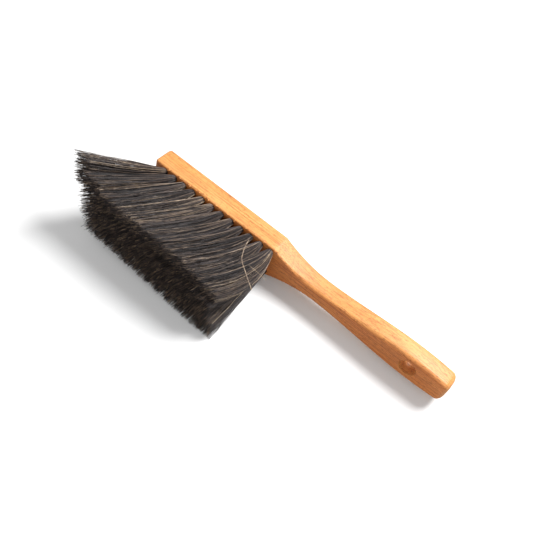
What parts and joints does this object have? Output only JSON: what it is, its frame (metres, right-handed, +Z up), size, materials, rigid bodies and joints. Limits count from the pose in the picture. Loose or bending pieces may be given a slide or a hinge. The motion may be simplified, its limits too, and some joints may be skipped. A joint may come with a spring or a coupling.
{
  "type": "bee brush",
  "caption": "Bee brush lying on its side: one-piece oiled beech block and shaped handle with a hanging hole, and staggered rows of long, dark, splayed natural fibre tufts.",
  "frame": {"origin": "under the middle of the brush's box, on the surface that the brush lies on", "axes": "+X along the brush from the nose of the block to the end of the handle; -Y the way the bristles point; +Z up, with the brush on its side, resting on the back edge of the block and the splayed tips of the bottom row"},
  "size_m": [0.344, 0.1028, 0.076],
  "materials": {
    "beech": "oiled, satin",
    "fibre": "dull natural fibre with cut tips"
  },
  "bodies": {
    "root": {"wooden_block_and_handle": "beech", "tuft_top_01": "fibre", "tuft_top_02": "fibre", "tuft_top_03": "fibre", "tuft_top_04": "fibre", "tuft_top_05": "fibre", "tuft_top_06": "fibre", "tuft_top_07": "fibre", "tuft_top_08": "fibre", "tuft_top_09": "fibre", "tuft_top_10": "fibre", "tuft_top_11": "fibre", "tuft_top_12": "fibre", "tuft_middle_01": "fibre", "tuft_middle_02": "fibre", "tuft_middle_03": "fibre", "tuft_middle_04": "fibre", "tuft_middle_05": "fibre", "tuft_middle_06": "fibre", "tuft_middle_07": "fibre", "tuft_middle_08": "fibre", "tuft_middle_09": "fibre", "tuft_middle_10": "fibre", "tuft_middle_11": "fibre", "tuft_bottom_01": "fibre", "tuft_bottom_02": "fibre", "tuft_bottom_03": "fibre", "tuft_bottom_04": "fibre", "tuft_bottom_05": "fibre", "tuft_bottom_06": "fibre", "tuft_bottom_07": "fibre", "tuft_bottom_08": "fibre", "tuft_bottom_09": "fibre", "tuft_bottom_10": "fibre", "tuft_bottom_11": "fibre", "tuft_bottom_12": "fibre"}
  },
  "joints": []
}
